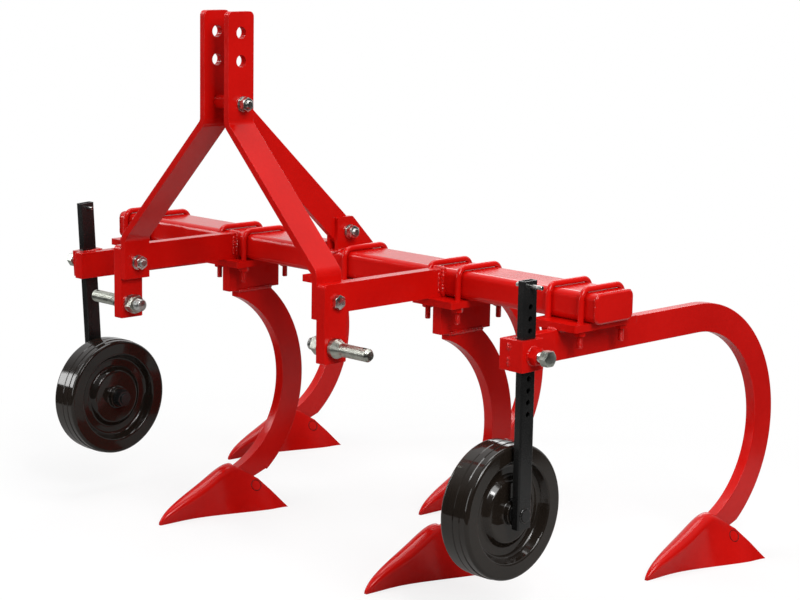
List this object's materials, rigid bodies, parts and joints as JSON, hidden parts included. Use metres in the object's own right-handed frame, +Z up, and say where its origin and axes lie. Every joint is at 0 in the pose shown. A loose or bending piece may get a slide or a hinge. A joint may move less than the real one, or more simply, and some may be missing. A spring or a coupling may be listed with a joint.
{
  "type": "tine cultivator",
  "caption": "Mounted cultivator for a small tractor: tubular beam with clamped curved tines and shares, three-point hitch mast, and gauge wheels on sliding struts.",
  "frame": {"origin": "on the ground under the shares, at the middle of the overall footprint", "axes": "+X along the beam towards the right-hand tine seen from the tractor, -Y towards the tractor, +Z up"},
  "size_m": [1.256, 0.8379, 0.9577],
  "materials": {
    "frame_paint": "gloss",
    "wheel_paint": "gloss",
    "strut_paint": "satin",
    "zinc_plate": "satin"
  },
  "bodies": {
    "frame": {"main_beam": "frame_paint", "beam_end_caps": "frame_paint", "hitch_arm_left": "frame_paint", "hitch_arm_right": "frame_paint", "lower_pin_left": "zinc_plate", "lower_pin_right": "zinc_plate", "lower_pin_nuts": "zinc_plate", "mast_bar_left": "frame_paint", "mast_bar_right": "frame_paint", "mast_bolt": "zinc_plate", "mast_spacers": "frame_paint", "mast_brace": "frame_paint", "brace_ears": "frame_paint", "brace_bolt": "zinc_plate", "arm_bolts": "zinc_plate", "clamp_plates": "frame_paint", "u_bolts": "frame_paint", "clamp_nuts": "frame_paint", "tine_holder_front_left": "frame_paint", "tine_holder_front_right": "frame_paint", "tine_shank_rear_left": "frame_paint", "tine_shank_rear_centre": "frame_paint", "tine_shank_rear_right": "frame_paint", "tine_shank_front_left": "frame_paint", "tine_shank_front_right": "frame_paint", "share_rear_left": "frame_paint", "share_rear_centre": "frame_paint", "share_rear_right": "frame_paint", "share_front_left": "frame_paint", "share_front_right": "frame_paint", "strut_sleeve_left": "frame_paint", "strut_sleeve_right": "frame_paint", "sleeve_nuts": "frame_paint", "set_bolt_left": "zinc_plate", "set_bolt_right": "zinc_plate"},
    "left_strut": {"wheel_strut_left": "strut_paint", "strut_pin_left": "zinc_plate", "wheel_axle_left": "strut_paint"},
    "right_strut": {"wheel_strut_right": "strut_paint", "strut_pin_right": "zinc_plate", "wheel_axle_right": "strut_paint"},
    "left_wheel": {"gauge_wheel_left": "wheel_paint"},
    "right_wheel": {"gauge_wheel_right": "wheel_paint"}
  },
  "joints": [
    {"name": "left_wheel_depth", "type": "slide", "parent": "frame", "child": "left_strut", "axis": [0, -0.0593, 0.9982], "range_m": [-0.075, 0.095]},
    {"name": "left_wheel_spin", "type": "hinge", "parent": "left_strut", "child": "left_wheel", "pos_m": [-0.5315, -0.23716, 0.18946], "axis": [1, 0, 0], "continuous": true},
    {"name": "right_wheel_depth", "type": "slide", "parent": "frame", "child": "right_strut", "axis": [0, 0, 1], "range_m": [-0.075, 0.095]},
    {"name": "right_wheel_spin", "type": "hinge", "parent": "right_strut", "child": "right_wheel", "pos_m": [0.5315, -0.2695, 0.189], "axis": [1, 0, 0], "continuous": true}
  ]
}
